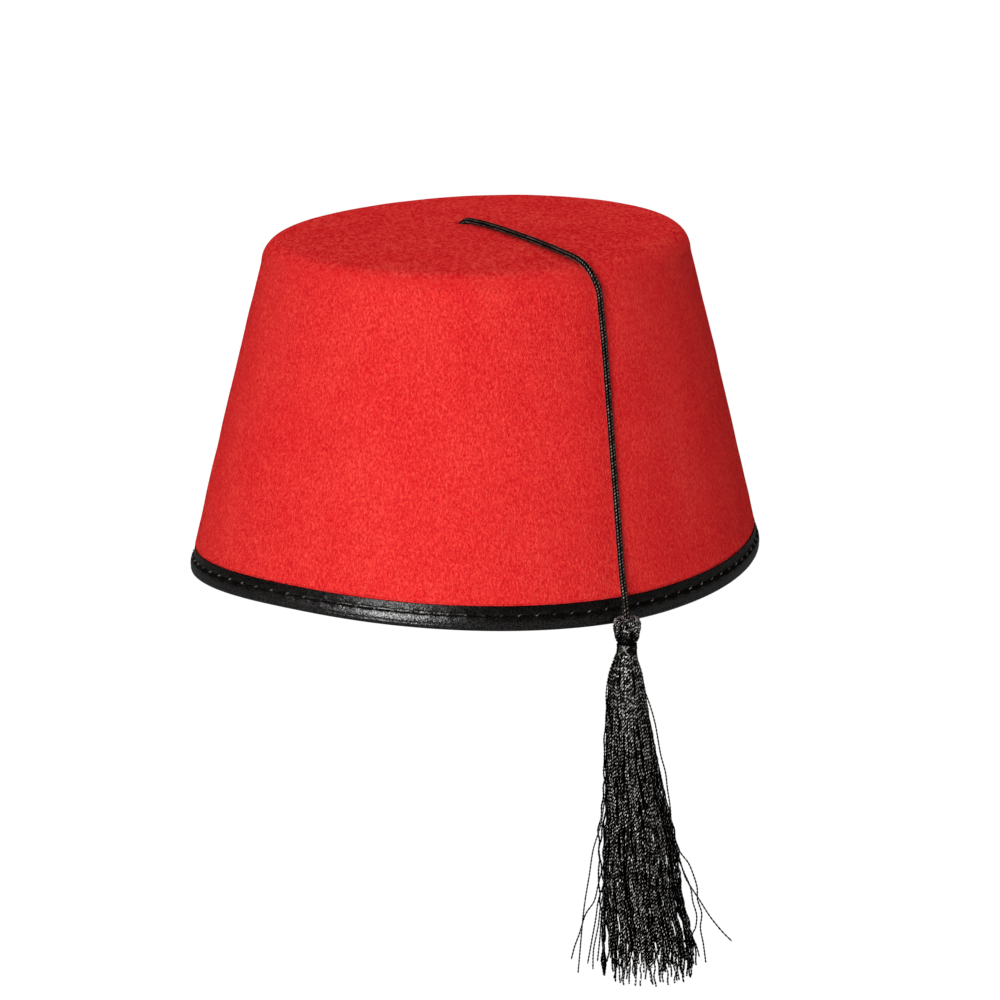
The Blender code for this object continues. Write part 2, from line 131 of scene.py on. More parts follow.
def smoothLine(points, spacing, steps=60):
    # Cubic pieces through the points, with each tangent weighted by the roots of the distances.
    given = np.array(points)
    ends = np.vstack([2 * given[0] - given[1], given, 2 * given[-1] - given[-2]])
    before, start, end, after = ends[:-3], ends[1:-2], ends[2:-1], ends[3:]
    a, b, c = (
        np.sqrt(np.linalg.norm(q - p, axis=1))[:, None]
        for p, q in ((before, start), (start, end), (end, after))
    )
    leave = ((start - before) / a - (end - before) / (a + b) + (end - start) / b) * b
    arrive = ((end - start) / b - (after - start) / (b + c) + (after - end) / c) * b
    t = np.linspace(0, 1, steps, endpoint=False)[None, :, None]
    start, end, leave, arrive = (part[:, None] for part in (start, end, leave, arrive))
    fine = start * (2 * t**3 - 3 * t**2 + 1) + leave * (t**3 - 2 * t**2 + t)
    fine = fine + end * (3 * t**2 - 2 * t**3) + arrive * (t**3 - t**2)
    return spaced(np.vstack([fine.reshape(-1, 3), given[-1:]]), spacing)


crownSize = {  # the crown's form, as in the part's source
    "headGirth": 0.590,
    "slimness": 0.849,
    "height": 0.113,
    "topWidth": 0.134,
    "topLength": 0.155,
    "topDome": 0.002,
    "edgeRadius": 0.0082,
    "sideBow": 0.00045,
    "rimDip": 0.0029,
    "rimSquareness": 2.24,
    "topSquareness": 2.1,
    "rimEgg": 0.048,
    "topEgg": 0.055,
    "felt": 0.0022,
    "pressedFelt": 0.0014,  # under the binding
    "feltEase": 0.0012,  # height in which the felt comes out to the binding's face
    "leather": 0.0007,
    "seatGap": 0.0003,
    "bandHeight": 0.008,
}
seatDepth = crownSize["leather"] + crownSize["seatGap"]
bandDepth = 2 * seatDepth + crownSize["pressedFelt"]
foldRadius = bandDepth / 2
sideHeight = crownSize["height"] - crownSize["edgeRadius"]


def oval(bearing, halfWidth, halfLength, squareness, egg):
    # Superellipse radius (|cos/w|^n + |sin/l|^n)^(-1/n), times 1 - egg * sin * cos^2.
    c, s = np.cos(bearing), np.sin(bearing)
    power = np.abs(c / halfWidth) ** squareness + np.abs(s / halfLength) ** squareness
    return power ** (-1 / squareness) * (1 - egg * s * c * c)


def rimHalfSizes():
    # The inner oval is scaled until its length round is the head girth; the band goes outside.
    s = crownSize
    bearing = np.linspace(0, fullTurn, 721)
    reach = oval(bearing, s["slimness"], 1, s["rimSquareness"], s["rimEgg"])
    x, y = reach * np.cos(bearing), reach * np.sin(bearing)
    halfLength = s["headGirth"] / np.hypot(np.diff(x), np.diff(y)).sum()
    return halfLength * s["slimness"] + bandDepth, halfLength + bandDepth


rimHalfWidth, rimHalfLength = rimHalfSizes()


def crownFace(bearing, way):
    # Oval between rim and top with a slight bow, a quarter round of edgeRadius, a domed top,
    # and the rim's dip * cos(2 bearing) * (1 - side)^2.
    s = crownSize
    side = np.clip(way, 0, 1)
    turn = np.clip(way - 1, 0, 1) * math.pi / 2
    inward = np.maximum(way - 2, 0)
    bow = s["sideBow"] * 4 * side * (1 - side)
    reach = oval(
        bearing,
        rimHalfWidth + (s["topWidth"] / 2 - rimHalfWidth) * side + bow,
        rimHalfLength + (s["topLength"] / 2 - rimHalfLength) * side + bow,
        s["rimSquareness"] + (s["topSquareness"] - s["rimSquareness"]) * side,
        s["rimEgg"] + (s["topEgg"] - s["rimEgg"]) * side,
    )
    reach = (reach - s["edgeRadius"] * (1 - np.cos(turn))) * (1 - inward)
    dome = s["topDome"] * (1 - (1 - inward) ** 2)
    dip = s["rimDip"] * np.cos(2 * bearing) * (1 - side) ** 2
    return reach, side * sideHeight + s["edgeRadius"] * np.sin(turn) + dome - dip


def crownPoint(bearing, way, depth=0.0):
    # The face's point moved inwards by depth along its normal in the upright plane.
    step = 1e-3
    reach, height = crownFace(bearing, way)
    reachOn, heightOn = crownFace(bearing, way + step)
    reachBack, heightBack = crownFace(bearing, way - step)
    out, up = reachOn - reachBack, heightOn - heightBack
    size = np.hypot(out, up)
    reach = reach - depth * up / size
    height = height + depth * out / size
    parts = np.broadcast_arrays(reach * np.cos(bearing), reach * np.sin(bearing), height)
    return np.stack(parts, axis=-1)


cordSize = {  # the route is the part's source's, but for small sideways shifts
    "diameter": 0.00225,
    "bend": 0.00495,
    "laid": math.radians(84),
    "bearing": math.radians(-21.5),
    "holeWay": 3.127,
    "holeDrift": -0.0027,
    "holeHeading": math.radians(21.5),
    "rest": 0.00005,  # from the cord down to the felt
    "tasselClear": 0.0041,
    "headRise": 0.0024,
    "entry": 0.0012,  # how far the cord's end goes into the tassel's head
    "route": (  # way, sideways, clear of the felt
        (2.985, -0.00045, 0.0), (2.86, 0.00025, 0.0), (2.64, 0.00080, 0.0), (2.42, 0.00125, 0.0),
        (2.20, 0.00135, 0.0), (2.00, 0.00110, 0.0), (1.60, 0.00140, 0.0), (1.25, 0.00245, 0.0),
        (1.00, 0.00345, 0.0), (0.93, 0.00345, 0.0), (0.82, 0.00325, 0.0), (0.67, 0.00265, 0.0),
        (0.52, 0.00210, 0.0), (0.37, 0.00165, 0.0001), (0.22, 0.00090, 0.0006),
        (0.13, 0.00030, 0.0014), (0.07, 0.00000, 0.0023),
    ),
    "enterAside": -0.0009,  # how far aside the cord enters the tassel's head
    "endAside": 0.6,  # and its end there, against that
    "exitSteps": 60,
    "spacing": 0.00016,  # between the rings of the mesh
    "sides": 36,
    "ribs": 6,  # columns of stitches round the knitted cord
    "ribTurn": math.radians(80),  # one column's middle, from the sideways direction
    "stitch": 0.00111,  # from stitch to stitch along a column
    "slant": 0.72,  # rise of a stitch across 60 degrees, over the stitch
    "relief": 0.34,  # depth of the lines between stitches, over the radius
    "roundness": 0.8,  # power of the stitch's cosines
    "slack": 0.12,  # height left at a stitch's ends
}


def levelWay(bearing):
    return np.array([math.cos(bearing), math.sin(bearing), 0])


outward = levelWay(cordSize["bearing"])
sideways = np.cross(upright, outward)
cordLift = cordSize["diameter"] / 2 + cordSize["rest"]


def besideCrown(way, drift, lift):
    # The crown's point on the cord's bearing, lifted off the felt and moved sideways.
    return crownPoint(cordSize["bearing"], way, -lift) + drift * sideways


def cordExit(steps):
    # Arc of the bend's radius, from straight up under the top to lying along the heading.
    forward = levelWay(cordSize["bearing"] + cordSize["holeHeading"])
    bend = cordSize["bend"]
    mouthTurn = math.asin((bend - cordLift) / bend)
    start = besideCrown(cordSize["holeWay"], cordSize["holeDrift"], cordLift - bend)
    start = start - forward * bend * (1 - math.cos(mouthTurn))
    turn = np.linspace(0, cordSize["laid"], steps)[:, None]
    return start + bend * ((1 - np.cos(turn)) * forward + np.sin(turn) * upright)


def tasselTop():
    # Out from the rim and a little above it.
    rim = crownPoint(cordSize["bearing"], 0.0)
    return rim + outward * cordSize["tasselClear"] + upright * cordSize["headRise"]


def cordPath():
    # The bend out of the hole, then one smooth line over the route and into the tassel's head.
    s = cordSize
    top = tasselTop()
    aside = s["enterAside"] * sideways
    end = top - upright * s["entry"] + aside * s["endAside"]
    hanging = top + upright * s["diameter"] + aside
    route = [besideCrown(way, drift, cordLift + clear) for way, drift, clear in s["route"]]
    bend = cordExit(s["exitSteps"])
    laid = smoothLine([bend[-1], *route, hanging, end], s["spacing"])
    return spaced(np.vstack([bend[:-1], laid]), s["spacing"])


cameraView = {
    "azimuth": math.radians(38.471),
    "elevation": math.radians(12.696),
    "distance": 2.06806,
    "middle": (0.0, 0.0, 0.0565),
    "aimRight": 0.00632,
    "aimDown": 0.0355,
    "lens": 219.48,
    "sensor": 36.0,
}


def seenFrom(azimuth, elevation):
    # Way from the middle towards an azimuth, turned about +Z from the front, and an elevation.
    level = math.cos(elevation)
    return np.array([math.sin(azimuth) * level, -math.cos(azimuth) * level, math.sin(elevation)])


def addCamera():
    # It looks at a point beside the middle, which puts the hat at its place in the picture.
    v = cameraView
    back, right = seenFrom(v["azimuth"], v["elevation"]), levelWay(v["azimuth"])
    up = np.cross(back, right)
    place = np.array(v["middle"]) + v["distance"] * back
    aim = np.array(v["middle"]) + right * v["aimRight"] - up * v["aimDown"]
    data = bpy.data.cameras.new("camera")
    data.lens, data.sensor_width = v["lens"], v["sensor"]
    camera = addObject("camera", data)
    aimBack(camera, place, unit(place - aim))
    bpy.context.scene.camera = camera


def aimBack(obj, place, back):
    # Puts a camera or light at place, looking against back, with its top upwards.
    side = unit(np.cross(upright, back))
    matrix = np.eye(4)
    matrix[:3] = np.stack([side, np.cross(back, side), back, place], axis=1)
    obj.matrix_world = Matrix(matrix.tolist())


addCamera()
print("camera placed")


def newMaterial(name):
    material = bpy.data.materials.new(name)
    material.use_nodes = True
    return material, material.node_tree, material.node_tree.nodes["Principled BSDF"]


def feed(tree, node, inputs):
    # Each input gets a value or another node's output.
    for key, value in inputs.items():
        if isinstance(value, bpy.types.NodeSocket):
            tree.links.new(value, node.inputs[key])
        else:
            node.inputs[key].default_value = value


def addNode(tree, kind, inputs=None, **settings):
    node = tree.nodes.new("ShaderNode" + kind)
    for key, value in settings.items():
        setattr(node, key, value)
    feed(tree, node, inputs or {})
    return node


def mathNode(tree, operation, first, second=0.0, third=0.0, clamp=False):
    inputs = {0: first, 1: second, 2: third}
    return addNode(tree, "Math", inputs, operation=operation, use_clamp=clamp).outputs[0]


def between(tree, share, low, high):
    return mathNode(tree, "MULTIPLY_ADD", share, high - low, low)


def mixColour(tree, factor, first, second):
    node = addNode(tree, "Mix", {0: factor, 6: first, 7: second}, data_type="RGBA")
    return node.outputs[2]


def colour(red, green, blue):
    return (red, green, blue, 1.0)


def objectCoords(tree):
    return addNode(tree, "TexCoord").outputs["Object"]


def layerValue(tree, label):
    return addNode(tree, "Attribute", attribute_name=label).outputs["Fac"]


def newGroup(name, values):
    # A node group that makes one mask from a vector and named numbers.
    group = bpy.data.node_groups.new(name, "ShaderNodeTree")
    group.interface.new_socket("Vector", in_out="INPUT", socket_type="NodeSocketVector")
    for label, value in values.items():
        socket = group.interface.new_socket(label, in_out="INPUT", socket_type="NodeSocketFloat")
        socket.default_value = value
    group.interface.new_socket("Mask", in_out="OUTPUT", socket_type="NodeSocketFloat")
    return group, group.nodes.new("NodeGroupInput"), group.nodes.new("NodeGroupOutput")


def drawnNoise(group, given, inputs):
    # Noise of the given size, drawn out along Z by the stretch, less its middle value.
    split = addNode(group, "SeparateXYZ", {0: given.outputs["Vector"]}).outputs
    flat = mathNode(group, "DIVIDE", split[2], given.outputs["Stretch"])
    joined = addNode(group, "CombineXYZ", {0: split[0], 1: split[1], 2: flat})
    scale = mathNode(group, "DIVIDE", 1.0, given.outputs["Size"])
    inputs = {"Vector": joined.outputs[0], "Scale": scale, **inputs}
    noise = addNode(group, "TexNoise", inputs)
    return mathNode(group, "SUBTRACT", noise.outputs[0], 0.5)


def buildPatches():
    # Soft patches: the noise times the contrast, plus a half.
    values = {"Size": 0.01, "Stretch": 1.0, "Detail": 2.0, "Contrast": 1.5}
    group, given, result = newGroup("softPatches", values)
    centred = drawnNoise(group, given, {"Detail": given.outputs["Detail"]})
    spread = mathNode(group, "MULTIPLY_ADD", centred, given.outputs["Contrast"], 0.5, clamp=True)
    group.links.new(spread, result.inputs["Mask"])
    return group


def buildFibres():
    # A web of fine curved lines where the noise is near its middle: 1 - |noise| * sharpness.
    values = {"Size": 0.001, "Stretch": 1.0, "Sharpness": 5.0}
    group, given, result = newGroup("fibreWeb", values)
    away = mathNode(group, "ABSOLUTE", drawnNoise(group, given, {"Detail": 1.0, "Distortion": 0.6}))
    steep = mathNode(group, "MULTIPLY", away, given.outputs["Sharpness"])
    line = mathNode(group, "SUBTRACT", 1.0, steep, clamp=True)
    group.links.new(line, result.inputs["Mask"])
    return group


patches = buildPatches()
fibreWeb = buildFibres()


def groupMask(tree, group, coords, *values):
    # The group's mask in a material; the values follow the order of the group's numbers.
    inputs = dict(enumerate((coords, *values)))
    return addNode(tree, "Group", inputs, node_tree=group).outputs["Mask"]


feltLook = {
    "deep": colour(0.69, 0.009, 0.014),
    "body": colour(0.83, 0.020, 0.025),
    "pale": colour(0.98, 0.080, 0.060),
    "stops": (0.16, 0.45, 0.86),  # where the pattern has each of these colours
    "roughness": 0.60,
    "risingFibres": (0.00056, 2.8, 8.0),  # size, stretch, sharpness
    "levelFibres": (0.00056, 1.0, 8.0),
    "levelShift": (0.31, 0.17, 0.23),
    "levelShare": 0.75,
    "tuft": (0.00062, 2.0, 4.0, 2.4),  # size, stretch, detail, contrast
    "cloud": (0.016, 1.6, 2.0, 1.6),
    "shares": (0.50, 0.34, 0.16),  # of fibres, tufts and clouds in the pattern
    "tuftRelief": 0.8,  # against the fibres
    "bump": 0.00013,
    "topHeights": (0.1085, 0.1125),  # the sides' pattern gives way to the top's between them
    "napTurn": math.radians(38),  # way in which the nap of the top lies
    "napLength": 5.6,
    "napWidth": 2.3,
}


def feltPattern(tree, coords):
    # Fibres upright and level over one another, and soft tufts.
    look = feltLook
    shift = {0: coords, 1: look["levelShift"]}
    shifted = addNode(tree, "VectorMath", shift).outputs[0]
    rising = groupMask(tree, fibreWeb, coords, *look["risingFibres"])
    level = groupMask(tree, fibreWeb, shifted, *look["levelFibres"])
    level = mathNode(tree, "MULTIPLY", level, look["levelShare"])
    return mathNode(tree, "MAXIMUM", rising, level), groupMask(tree, patches, coords, *look["tuft"])


def feltMaterial():
    # The pattern of the sides, and on the flat top the same drawn out along its nap.
    look = feltLook
    material, tree, shader = newMaterial("redFelt")
    coords = objectCoords(tree)
    turned = {
        "Vector": coords,
        "Rotation": (0, 0, look["napTurn"]),
        "Scale": (look["napWidth"], look["napLength"], 1),
    }
    laid = addNode(tree, "Mapping", turned, vector_type="TEXTURE").outputs[0]
    height = addNode(tree, "SeparateXYZ", {0: coords}).outputs[2]
    edge = dict(enumerate((height, *look["topHeights"])))
    flat = addNode(tree, "MapRange", edge).outputs[0]
    pairs = zip(feltPattern(tree, coords), feltPattern(tree, laid))
    web, tuft = (
        addNode(tree, "Mix", {0: flat, 2: side, 3: top}).outputs[0] for side, top in pairs
    )
    cloud = groupMask(tree, patches, coords, *look["cloud"])
    mixed = 0.0
    for mask, share in zip((web, tuft, cloud), look["shares"]):
        mixed = mathNode(tree, "MULTIPLY_ADD", mask, share, mixed)
    ramp = addNode(tree, "ValToRGB", {0: mixed})
    stops = ramp.color_ramp.elements
    stops.new(look["stops"][1])
    for stop, place, shade in zip(stops, look["stops"], ("deep", "body", "pale")):
        stop.position, stop.color = place, look[shade]
    relief = mathNode(tree, "MULTIPLY_ADD", tuft, look["tuftRelief"], web)
    finish = {
        "Base Color": ramp.outputs[0],
        "Roughness": look["roughness"],
        "Specular IOR Level": 0.0,
        "Normal": bumped(tree, relief, look["bump"], 1.0),
    }
    feed(tree, shader, finish)
    return material


def bumped(tree, height, distance, strength):
    inputs = {"Height": height, "Distance": distance, "Strength": strength}
    return addNode(tree, "Bump", inputs).outputs[0]


leatherLook = {
    "dark": colour(0.0024, 0.0017, 0.0014),
    "worn": colour(0.008, 0.0065, 0.0055),
    "roughness": (0.25, 0.35),  # between patches
    "shine": 2.6,  # refractive index of the coating, high for a strong gleam
    "gleam": (0.01, 0.51),  # specular level off and on the specks
    "speck": (0.00036, 1.0, 1.0, 3.6),  # size, stretch, detail, contrast
    "patch": (0.004, 1.0, 3.0, 1.8),
    "grain": (0.00070, 1.0, 3.0, 2.0),
    "bump": 0.00012,
    "bumpStrength": 0.7,
}


def leatherMaterial():
    # Black with fine specks that gleam more than the rest, over a shallow grain.
    look = leatherLook
    material, tree, shader = newMaterial("blackLeatherette")
    coords = objectCoords(tree)
    speck, patch, grain = (
        groupMask(tree, patches, coords, *look[key]) for key in ("speck", "patch", "grain")
    )
    base = mixColour(tree, mathNode(tree, "MULTIPLY", patch, speck), look["dark"], look["worn"])
    gleam = between(tree, speck, *look["gleam"])
    finish = {
        "Base Color": base,
        "Roughness": between(tree, patch, *look["roughness"]),
        "Specular IOR Level": mathNode(tree, "MULTIPLY", gleam, layerValue(tree, "gloss")),
        "IOR": look["shine"],
        "Normal": bumped(tree, grain, look["bump"], look["bumpStrength"]),
    }
    feed(tree, shader, finish)
    return material


def strandLift(tree):
    # 0.5 + 0.5 * cos(2 * angle - turns), from layers that hold cos and sin of twice the angle;
    # times a painted shade towards the sides of a yarn, where its neighbours would shade it.
    turns = mathNode(tree, "MULTIPLY", layerValue(tree, "turns"), fullTurn)
    parts = (("COSINE", "cosTwice"), ("SINE", "sinTwice"))
    level, steep = (
        mathNode(tree, "MULTIPLY", mathNode(tree, wave, turns), layerValue(tree, layer))
        for wave, layer in parts
    )
    wave = mathNode(tree, "MULTIPLY_ADD", mathNode(tree, "ADD", level, steep), 0.5, 0.5)
    return mathNode(tree, "MULTIPLY", wave, layerValue(tree, "unshadedShare"))


yarnLook = {  # alike on every yarn, thread and cord
    "shine": 3.0,  # refractive index, high for a strong gleam
    "fibre": (3.0, 3.0, 2.4),  # stretch, detail, contrast
    "fibreCrest": (0.75, 1.15),  # crests between fibres and on them
    "glint": (1.0, 1.0, 4.6),
    "toneLoss": 0.55,  # on the darkest yarns
}


def yarnMaterial(name, look, twisted=False):
    # Black between the plies and a painted highlight on their crests, by the mesh's own layers, with
    # more specular gloss there too; the painted glint makes some crests paler than others, and each
    # yarn has its own tone.
    material, tree, shader = newMaterial(name)
    coords = objectCoords(tree)
    lift = strandLift(tree) if twisted else layerValue(tree, "lift")
    fibre = groupMask(tree, patches, coords, look["fibreSize"], *yarnLook["fibre"])
    # Painted glint: a patchy mask that makes the painted highlight stronger on some crests than on
    # others.
    glint = groupMask(tree, patches, coords, look["glintSize"], *yarnLook["glint"])
    share = between(tree, mathNode(tree, "POWER", glint, look["rarity"]), look["least"], 1.0)
    tone = between(tree, layerValue(tree, "tone"), 1.0, 1 - yarnLook["toneLoss"])
    share = mathNode(tree, "MULTIPLY", share, tone)
    edges = {0: lift, 1: look["from"], 2: look["to"]}
    paintedCrestLight = addNode(tree, "MapRange", edges, interpolation_type="SMOOTHSTEP").outputs[0]
    paintedCrestLight = mathNode(tree, "MULTIPLY", paintedCrestLight, between(tree, fibre, *yarnLook["fibreCrest"]))
    paintedCrestLight = mathNode(tree, "MULTIPLY", paintedCrestLight, share, clamp=True)
    # The base colour goes from the groove's black to the pale top by the crest mask, a painted
    # highlight; the specular level follows the same mask.
    finish = {
        "Base Color": mixColour(tree, paintedCrestLight, look["groove"], look["top"]),
        "Roughness": look["roughness"],
        "Specular IOR Level": mathNode(tree, "MULTIPLY", paintedCrestLight, look["specular"]),
        "IOR": yarnLook["shine"],
    }
    feed(tree, shader, finish)
    return material


# From and to: the lift at which the painted highlight on the crests starts and is full. Least: the
# share of that painted highlight that all crests have. Rarity: higher for fewer bright ones. Top:
# the colour of the painted highlight; groove: the yarn's own black.
cordLook = {
    "groove": colour(0.0016, 0.0013, 0.0011), "top": colour(0.21, 0.175, 0.145),
    "from": 0.60, "to": 0.92, "least": 0.22, "rarity": 1.2,
    "roughness": 0.45, "specular": 0.5, "fibreSize": 0.00025, "glintSize": 0.0014,
}
headLook = {
    "groove": colour(0.0014, 0.0011, 0.0009), "top": colour(1.0, 0.96, 0.92),
    "from": 0.68, "to": 0.90, "least": 0.04, "rarity": 1.5,
    "roughness": 0.34, "specular": 0.7, "fibreSize": 0.00020, "glintSize": 0.0011,
}
tasselLook = {
    "groove": colour(0.0014, 0.0011, 0.0009), "top": colour(1.0, 0.96, 0.92),
    "from": 0.50, "to": 0.70, "least": 0.02, "rarity": 1.7,
    "roughness": 0.34, "specular": 0.9, "fibreSize": 0.00020, "glintSize": 0.0012,
}
threadLook = {
    "groove": colour(0.0030, 0.0026, 0.0022), "top": colour(0.80, 0.76, 0.70),
    "from": 0.55, "to": 0.95, "least": 0.03, "rarity": 2.0,
    "roughness": 0.26, "specular": 0.9, "fibreSize": 0.00018, "glintSize": 0.0016,
}
stitchLook = {
    "groove": colour(0.010, 0.009, 0.008), "top": colour(0.12, 0.105, 0.095),
    "from": 0.30, "to": 0.80, "least": 0.25, "rarity": 1.0,
    "roughness": 0.42, "specular": 0.2, "fibreSize": 0.00018, "glintSize": 0.0040,
}

felt = feltMaterial()
leather = leatherMaterial()
cordYarn = yarnMaterial("blackCord", cordLook)
headYarn = yarnMaterial("blackLoops", headLook)
tasselYarn = yarnMaterial("blackYarn", tasselLook, True)
neckThread = yarnMaterial("blackThread", threadLook)
stitchThread = yarnMaterial("stitchThread", stitchLook)
print("materials made")


def knitRelief(along, angle):
    # Height of the stitches of a knitted cord, 0 between them and 1 on them: |cos| across each
    # rib, times |cos| along it, slanted, and with every second rib half a stitch on.
    c = cordSize
    turned = (angle - c["ribTurn"]) * c["ribs"] / fullTurn
    rib = np.round(turned)
    across = np.abs(np.cos(math.pi * (turned - rib))) ** c["roundness"]
    phase = along / c["stitch"] - c["slant"] * (turned - rib) + 0.5 * (rib % 2)
    stitch = np.abs(np.cos(math.pi * phase)) ** c["roundness"]
    return across * (c["slack"] + (1 - c["slack"]) * stitch)


def makeCord():
    # A tube along the path, whose radius falls between the stitches.
    s = cordSize
    path = cordPath()
    along = np.arange(len(path))[:, None] * s["spacing"]
    lift = knitRelief(along, ringAngles(s["sides"])[None])
    radius = s["diameter"] / 2 * (1 - s["relief"] * (1 - lift))
    piece = buildTubes("cord_knitted", path[None], sideways, radius[None], cordYarn, lift=lift)
    return piece, path


cord, cordCentre = makeCord()


crownMesh = {
    "columns": 400,
    "easeRows": 9,  # from under the binding out to its face
    "sideRows": 56,
    "edgeRows": 18,
    "topRows": 34,
    "holeRows": 32,  # close together between these two distances from the axis
    "holeFar": 0.0135,
    "holeNear": 0.0045,
    "middleRows": 6,
    "middle": 2.998,  # way of the last row, closed by one face
    "insideRows": (7, 8, 22),  # under the top, in its edge and down the side
    "insideTop": 2.9,
    "easeSharpness": 2.4,
    "pit": 0.0016,
    "pitEase": 0.0005,
    "pitClear": 0.0001,
    "mouthHeight": 0.0004,
    "unevenness": 0.00012,
    "evenTo": 0.1,  # way from the rim where the waves start, and how fast they grow
    "roughRise": 8,
    "smoothWay": 1.6,  # less uneven here, and for about this far on both sides
    "smoothReach": 0.6,
    "smoothShare": 0.9,
}


def feltUnevenness(points):
    # Slight waves of hand-blocked felt: two products of sines with periods of 19 to 44 mm.
    x, y, z = (points[..., i] / 0.001 for i in range(3))
    wave = np.sin(x / 3.1 + 1.3 * np.sin(z / 7.0)) * np.sin(y / 3.7 + 0.6) * np.sin(z / 4.3 + 0.9)
    wave = wave + 0.8 * np.sin(x / 6.3 + y / 5.1 + 0.4) * np.sin(z / 6.1 - 0.7)
    return wave * crownMesh["unevenness"]


def outerRows():
    # Ways and depths of the rows from the rim's edge up, under the binding, over the side and
    # the edge, and over the top to its middle.
    s, m = crownSize, crownMesh
    above = s["bandHeight"] + s["seatGap"]
    climb = np.linspace(0, 1, m["easeRows"])
    heights = np.concatenate([[foldRadius, above * 0.6], above + s["feltEase"] * climb])
    depths = seatDepth * 0.5 * (1 - smoothStep(climb * m["easeSharpness"]))
    far, near = (3 - m[key] / (s["topWidth"] / 2) for key in ("holeFar", "holeNear"))
    parts = (
        ((above + s["feltEase"]) / sideHeight, 1, m["sideRows"] + 1),
        (1, 2, m["edgeRows"] + 1),
        (2, far, m["topRows"] + 1),
        (far, near, m["holeRows"] + 1),
        (near, m["middle"], m["middleRows"]),
    )
    ways = np.concatenate([heights / sideHeight, *(np.linspace(*part)[1:] for part in parts)])
    depths = np.concatenate([[seatDepth] * 2, depths, np.zeros(len(ways) - len(depths) - 2)])
    return ways[:, None], depths[:, None]


def makeCrown():
    # A grid from the middle under the top, down the inside, under the rim and up the outside.
    s, m = crownSize, crownMesh
    bearing = ringAngles(m["columns"])[None]
    ways, depths = outerRows()
    rough = feltUnevenness(crownPoint(bearing, ways))
    rough = rough * smoothStep((ways - m["evenTo"]) * m["roughRise"])
    smooth = np.exp(-(((ways - m["smoothWay"]) / m["smoothReach"]) ** 2))
    outer = crownPoint(bearing, ways, depths + rough * (1 - m["smoothShare"] * smooth))
    outer[..., 2] -= holePit(outer)
    underTop, inEdge, downSide = m["insideRows"]
    above = s["bandHeight"] + s["seatGap"]
    inWays = np.concatenate(
        [
            [m["middle"]],
            np.linspace(m["insideTop"], 2, underTop),
            np.linspace(2, 1, inEdge)[1:],
            np.linspace(1, above / sideHeight, downSide)[1:-1],
        ]
    )
    inner = crownPoint(bearing, inWays[:, None], s["felt"])
    low = np.array([[above], [foldRadius]]) / sideHeight
    pressed = crownPoint(bearing, low, seatDepth + s["pressedFelt"])
    grid = np.concatenate([inner, pressed, outer])
    return buildMesh("felt_crown", grid, closedFaces(*grid.shape[:2]), felt)


def holePit(points):
    # Depth of the pit round the cord, from the level distance to the cord's own line.
    m = crownMesh
    mouth = cordExit(cordSize["exitSteps"])
    low = mouth[mouth[:, 2] < crownPoint(0.0, 3.0)[2] + m["mouthHeight"]]
    away = np.linalg.norm(points[..., None, :2] - low[::6, :2], axis=-1).min(axis=-1)
    edge = cordSize["diameter"] / 2 + m["pitClear"]
    top = points[..., 2] > sideHeight
    return m["pit"] * (1 - smoothStep((away - edge) / m["pitEase"])) * top


crown = makeCrown()
print("crown made")


bindingSize = {
    "insideHeight": 0.0075,
    "stitchHeight": 0.0050,
    "groove": 0.00034,
    "grooveWidth": 0.00046154,
    "puff": 0.00042,
    "puffEase": 0.16,
    "lean": 0.00022,  # of the strip over the stitches, towards them
    "dullGloss": 0.4,  # of that strip, against the one below
    "rows": (26, 15, 12),  # outer leaf, fold, inner leaf
    "columns": 936,
    "lip": 0.0001,
    "waver": 0.00009,
    "waverLengths": (0.0081, 0.037),
    "stitches": 93,
    "firstStitch": 0.23,  # from bearing 0, in stitches
    "unevenStitches": 0.0024,  # how far they drift from an even spacing, four times round
    "driftTurn": 0.6,
    "stitchLength": 0.0013,
    "stitchRise": 0.0007,
    "stitchWidth": 0.00046,
    "stitchProud": 0.00038,
    "stitchSink": 0.6,  # of the groove, for the ends of the thread
    "stitchRings": 9,
    "stitchSides": 6,
    "pucker": 0.00016,
    "puckerReach": 0.0011,
}


def rimArc():
    # Bearings at even distances round the rim, and the full distance round it.
    bearing = np.linspace(0, fullTurn, 4001)
    ring = crownPoint(bearing, 0.0)
    along = np.concatenate([[0], np.cumsum(np.linalg.norm(np.diff(ring, axis=0), axis=1))])
    return bearing, along


def bindingSection():
    # Down the outer leaf, round the fold, and up the inner leaf, as (depth, height): a groove
    # exp(-(from the stitches / width)^2), and below it a roll (1 - exp(-x / ease)) (1 - x^5).
    s, c = bindingSize, crownSize
    middle = s["stitchHeight"]
    down = np.linspace(c["bandHeight"], foldRadius, s["rows"][0])
    lower = np.clip((middle - down) / (middle - foldRadius), 0, 1)
    upper = np.clip((down - middle) / (c["bandHeight"] - middle), 0, 1)
    puffed = s["puff"] * (1 - np.exp(-lower / s["puffEase"])) * (1 - lower**5)
    puffed = puffed - s["lean"] * (1 - upper) * (upper > 0)
    turn = np.linspace(0, math.pi, s["rows"][1])[1:-1]
    up = np.linspace(foldRadius, s["insideHeight"], s["rows"][2])
    outDent, inDent = (
        s["groove"] * np.exp(-(((height - middle) / s["grooveWidth"]) ** 2)) for height in (down, up)
    )
    outside = np.stack([outDent - puffed, down], -1)
    fold = np.stack([foldRadius * (1 - np.cos(turn)), foldRadius * (1 - np.sin(turn))], -1)
    inside = np.stack([bandDepth - inDent, up], -1)
    hidden = [
        (bandDepth - c["leather"], s["insideHeight"] - s["lip"]),
        (bandDepth - c["leather"], foldRadius),
        (foldRadius, c["leather"]),
        (c["leather"], foldRadius),
        (c["leather"], c["bandHeight"] - s["lip"]),
    ]
    return np.concatenate([outside, fold, inside, hidden])


def stitchDrift(share):
    s = bindingSize
    return s["unevenStitches"] * np.sin(4 * fullTurn * share + s["driftTurn"])


